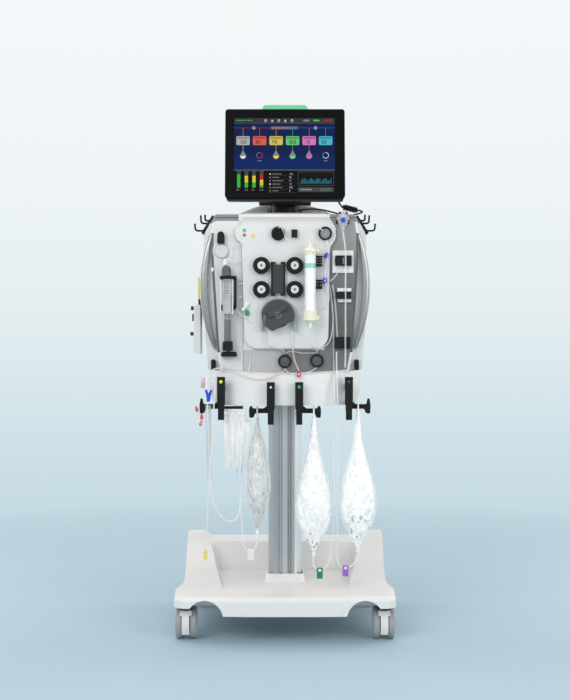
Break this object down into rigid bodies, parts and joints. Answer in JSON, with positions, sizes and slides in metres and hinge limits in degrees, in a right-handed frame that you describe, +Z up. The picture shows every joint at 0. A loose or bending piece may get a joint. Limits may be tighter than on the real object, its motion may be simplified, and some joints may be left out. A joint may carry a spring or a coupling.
{
  "type": "dialysis machine",
  "caption": "Free-standing blood treatment machine on a wheeled base: column, pump front, bag scales, touch display and fitted disposable set.",
  "frame": {"origin": "on the floor, at the centre of the base", "axes": "+X to the viewer's right, +Y to the rear, +Z up"},
  "size_m": [0.652, 0.6, 1.606],
  "materials": {
    "white_moulding": "smooth gloss",
    "dark_steel_frame": "powder coat",
    "extruded_aluminium": "brushed, anodised",
    "black_plastic": "fine grain",
    "light_grey_panel": "satin",
    "metallic_shell": "metallic satin paint",
    "dark_grey_panel": "satin",
    "pump_panel_white": "satin",
    "grey_cover": "satin",
    "chassis_aluminium": "mill finish",
    "motor_case": "satin",
    "electronics_case": "matte",
    "dark_grey_rotor": "satin",
    "filter_white": "gloss",
    "cream_plastic": "gloss",
    "clear_plastic": "clear",
    "clamp_plastic": "gloss",
    "bag_film": "clear film",
    "yellow_line": "gloss",
    "cord_black": "satin",
    "black_glass": "polished",
    "green_beacon": "translucent",
    "grey_tread": "matte"
  },
  "bodies": {
    "root": {"base_tray": "white_moulding", "base_chassis": "dark_steel_frame", "column": "extruded_aluminium", "rear_housing": "white_moulding", "rear_inlets": "black_plastic", "push_handle": "light_grey_panel", "side_shells": "metallic_shell", "front_frame": "white_moulding", "syringe_panel": "light_grey_panel", "return_panel": "dark_grey_panel", "pump_panel": "pump_panel_white", "scale_housing": "white_moulding", "top_cover": "grey_cover", "inner_chassis": "chassis_aluminium", "pump_motors": "motor_case", "electronics": "electronics_case", "pump_raceways": "black_plastic", "pressure_pods": "black_plastic", "sensor_blocks": "black_plastic", "filter_body": "filter_white", "filter_headers": "cream_plastic", "syringe_holder": "black_plastic", "syringe_barrel": "clear_plastic", "drip_chamber": "clear_plastic", "line_hooks": "black_plastic", "blood_warmer": "white_moulding", "tubing_set": "clear_plastic", "line_clamps": "clamp_plastic", "access_line": "yellow_line", "bag_lines": "clear_plastic", "monitor_plug": "black_plastic", "monitor_cord": "cord_black", "monitor_cord_coil": "cord_black", "neck_base": "black_plastic"},
    "display_yoke": {"neck_yoke": "black_plastic"},
    "display": {"monitor_bezel": "black_glass", "monitor_back": "metallic_shell", "beacon": "green_beacon"},
    "blood_pump": {"blood_pump_rotor": "dark_grey_rotor"},
    "fluid_pump_1": {"fluid_pump_rotor_1": "dark_grey_rotor"},
    "fluid_pump_2": {"fluid_pump_rotor_2": "dark_grey_rotor"},
    "fluid_pump_3": {"fluid_pump_rotor_3": "dark_grey_rotor"},
    "fluid_pump_4": {"fluid_pump_rotor_4": "dark_grey_rotor"},
    "syringe_drive": {"syringe_pusher": "black_plastic"},
    "scale_1": {"scale_arm_1": "black_plastic", "effluent_bag": "bag_film"},
    "scale_2": {"scale_arm_2": "black_plastic", "bag_2": "bag_film"},
    "scale_3": {"scale_arm_3": "black_plastic", "bag_3": "bag_film"},
    "scale_4": {"scale_arm_4": "black_plastic", "bag_4": "bag_film"},
    "caster_front_left": {"caster_fork_front_left": "light_grey_panel"},
    "wheels_front_left": {"caster_wheels_front_left": "grey_tread"},
    "caster_front_right": {"caster_fork_front_right": "light_grey_panel"},
    "wheels_front_right": {"caster_wheels_front_right": "grey_tread"},
    "caster_rear_left": {"caster_fork_rear_left": "light_grey_panel"},
    "wheels_rear_left": {"caster_wheels_rear_left": "grey_tread"},
    "caster_rear_right": {"caster_fork_rear_right": "light_grey_panel"},
    "wheels_rear_right": {"caster_wheels_rear_right": "grey_tread"}
  },
  "joints": [
    {"name": "display_swivel", "type": "hinge", "parent": "root", "child": "display_yoke", "pos_m": [0, 0, 1.3043], "axis": [0, 0, 1], "range_deg": [-40, 40], "deforming": ["monitor_cord", "monitor_cord_coil"]},
    {"name": "display_tilt", "type": "hinge", "parent": "display_yoke", "child": "display", "pos_m": [0, -0.07, 1.311], "axis": [1, 0, 0], "range_deg": [-18, 15]},
    {"name": "blood_pump_spin", "type": "hinge", "parent": "root", "child": "blood_pump", "pos_m": [-0.0205, -0.2, 0.957], "axis": [0, 1, 0], "continuous": true},
    {"name": "fluid_pump_1_spin", "type": "hinge", "parent": "root", "child": "fluid_pump_1", "pos_m": [-0.07015, -0.2, 1.1065], "axis": [0, 1, 0], "continuous": true},
    {"name": "fluid_pump_2_spin", "type": "hinge", "parent": "root", "child": "fluid_pump_2", "pos_m": [0.02915, -0.2, 1.1065], "axis": [0, 1, 0], "continuous": true},
    {"name": "fluid_pump_3_spin", "type": "hinge", "parent": "root", "child": "fluid_pump_3", "pos_m": [-0.07015, -0.2, 1.035], "axis": [0, 1, 0], "continuous": true},
    {"name": "fluid_pump_4_spin", "type": "hinge", "parent": "root", "child": "fluid_pump_4", "pos_m": [0.02915, -0.2, 1.035], "axis": [0, 1, 0], "continuous": true},
    {"name": "syringe_feed", "type": "slide", "parent": "root", "child": "syringe_drive", "axis": [0, 0, 1], "range_m": [0, 0.036]},
    {"name": "scale_1_pull", "type": "slide", "parent": "root", "child": "scale_1", "axis": [0, -1, 0], "range_m": [0, 0.15], "deforming": ["bag_lines", "access_line"]},
    {"name": "scale_2_pull", "type": "slide", "parent": "root", "child": "scale_2", "axis": [0, -1, 0], "range_m": [0, 0.15], "deforming": ["bag_lines"]},
    {"name": "scale_3_pull", "type": "slide", "parent": "root", "child": "scale_3", "axis": [0, -1, 0], "range_m": [0, 0.15], "deforming": ["bag_lines"]},
    {"name": "scale_4_pull", "type": "slide", "parent": "root", "child": "scale_4", "axis": [0, -1, 0], "range_m": [0, 0.15], "deforming": ["bag_lines"]},
    {"name": "swivel_front_left", "type": "hinge", "parent": "root", "child": "caster_front_left", "pos_m": [-0.292, -0.23, 0.1], "axis": [0, 0, 1], "continuous": true},
    {"name": "roll_front_left", "type": "hinge", "parent": "caster_front_left", "child": "wheels_front_left", "pos_m": [-0.292, -0.204, 0.047], "axis": [1, 0, 0], "continuous": true},
    {"name": "swivel_front_right", "type": "hinge", "parent": "root", "child": "caster_front_right", "pos_m": [0.292, -0.23, 0.1], "axis": [0, 0, 1], "continuous": true},
    {"name": "roll_front_right", "type": "hinge", "parent": "caster_front_right", "child": "wheels_front_right", "pos_m": [0.292, -0.204, 0.047], "axis": [1, 0, 0], "continuous": true},
    {"name": "swivel_rear_left", "type": "hinge", "parent": "root", "child": "caster_rear_left", "pos_m": [-0.292, 0.222, 0.1], "axis": [0, 0, 1], "continuous": true},
    {"name": "roll_rear_left", "type": "hinge", "parent": "caster_rear_left", "child": "wheels_rear_left", "pos_m": [-0.292, 0.248, 0.047], "axis": [1, 0, 0], "continuous": true},
    {"name": "swivel_rear_right", "type": "hinge", "parent": "root", "child": "caster_rear_right", "pos_m": [0.292, 0.222, 0.1], "axis": [0, 0, 1], "continuous": true},
    {"name": "roll_rear_right", "type": "hinge", "parent": "caster_rear_right", "child": "wheels_rear_right", "pos_m": [0.292, 0.248, 0.047], "axis": [1, 0, 0], "continuous": true}
  ]
}
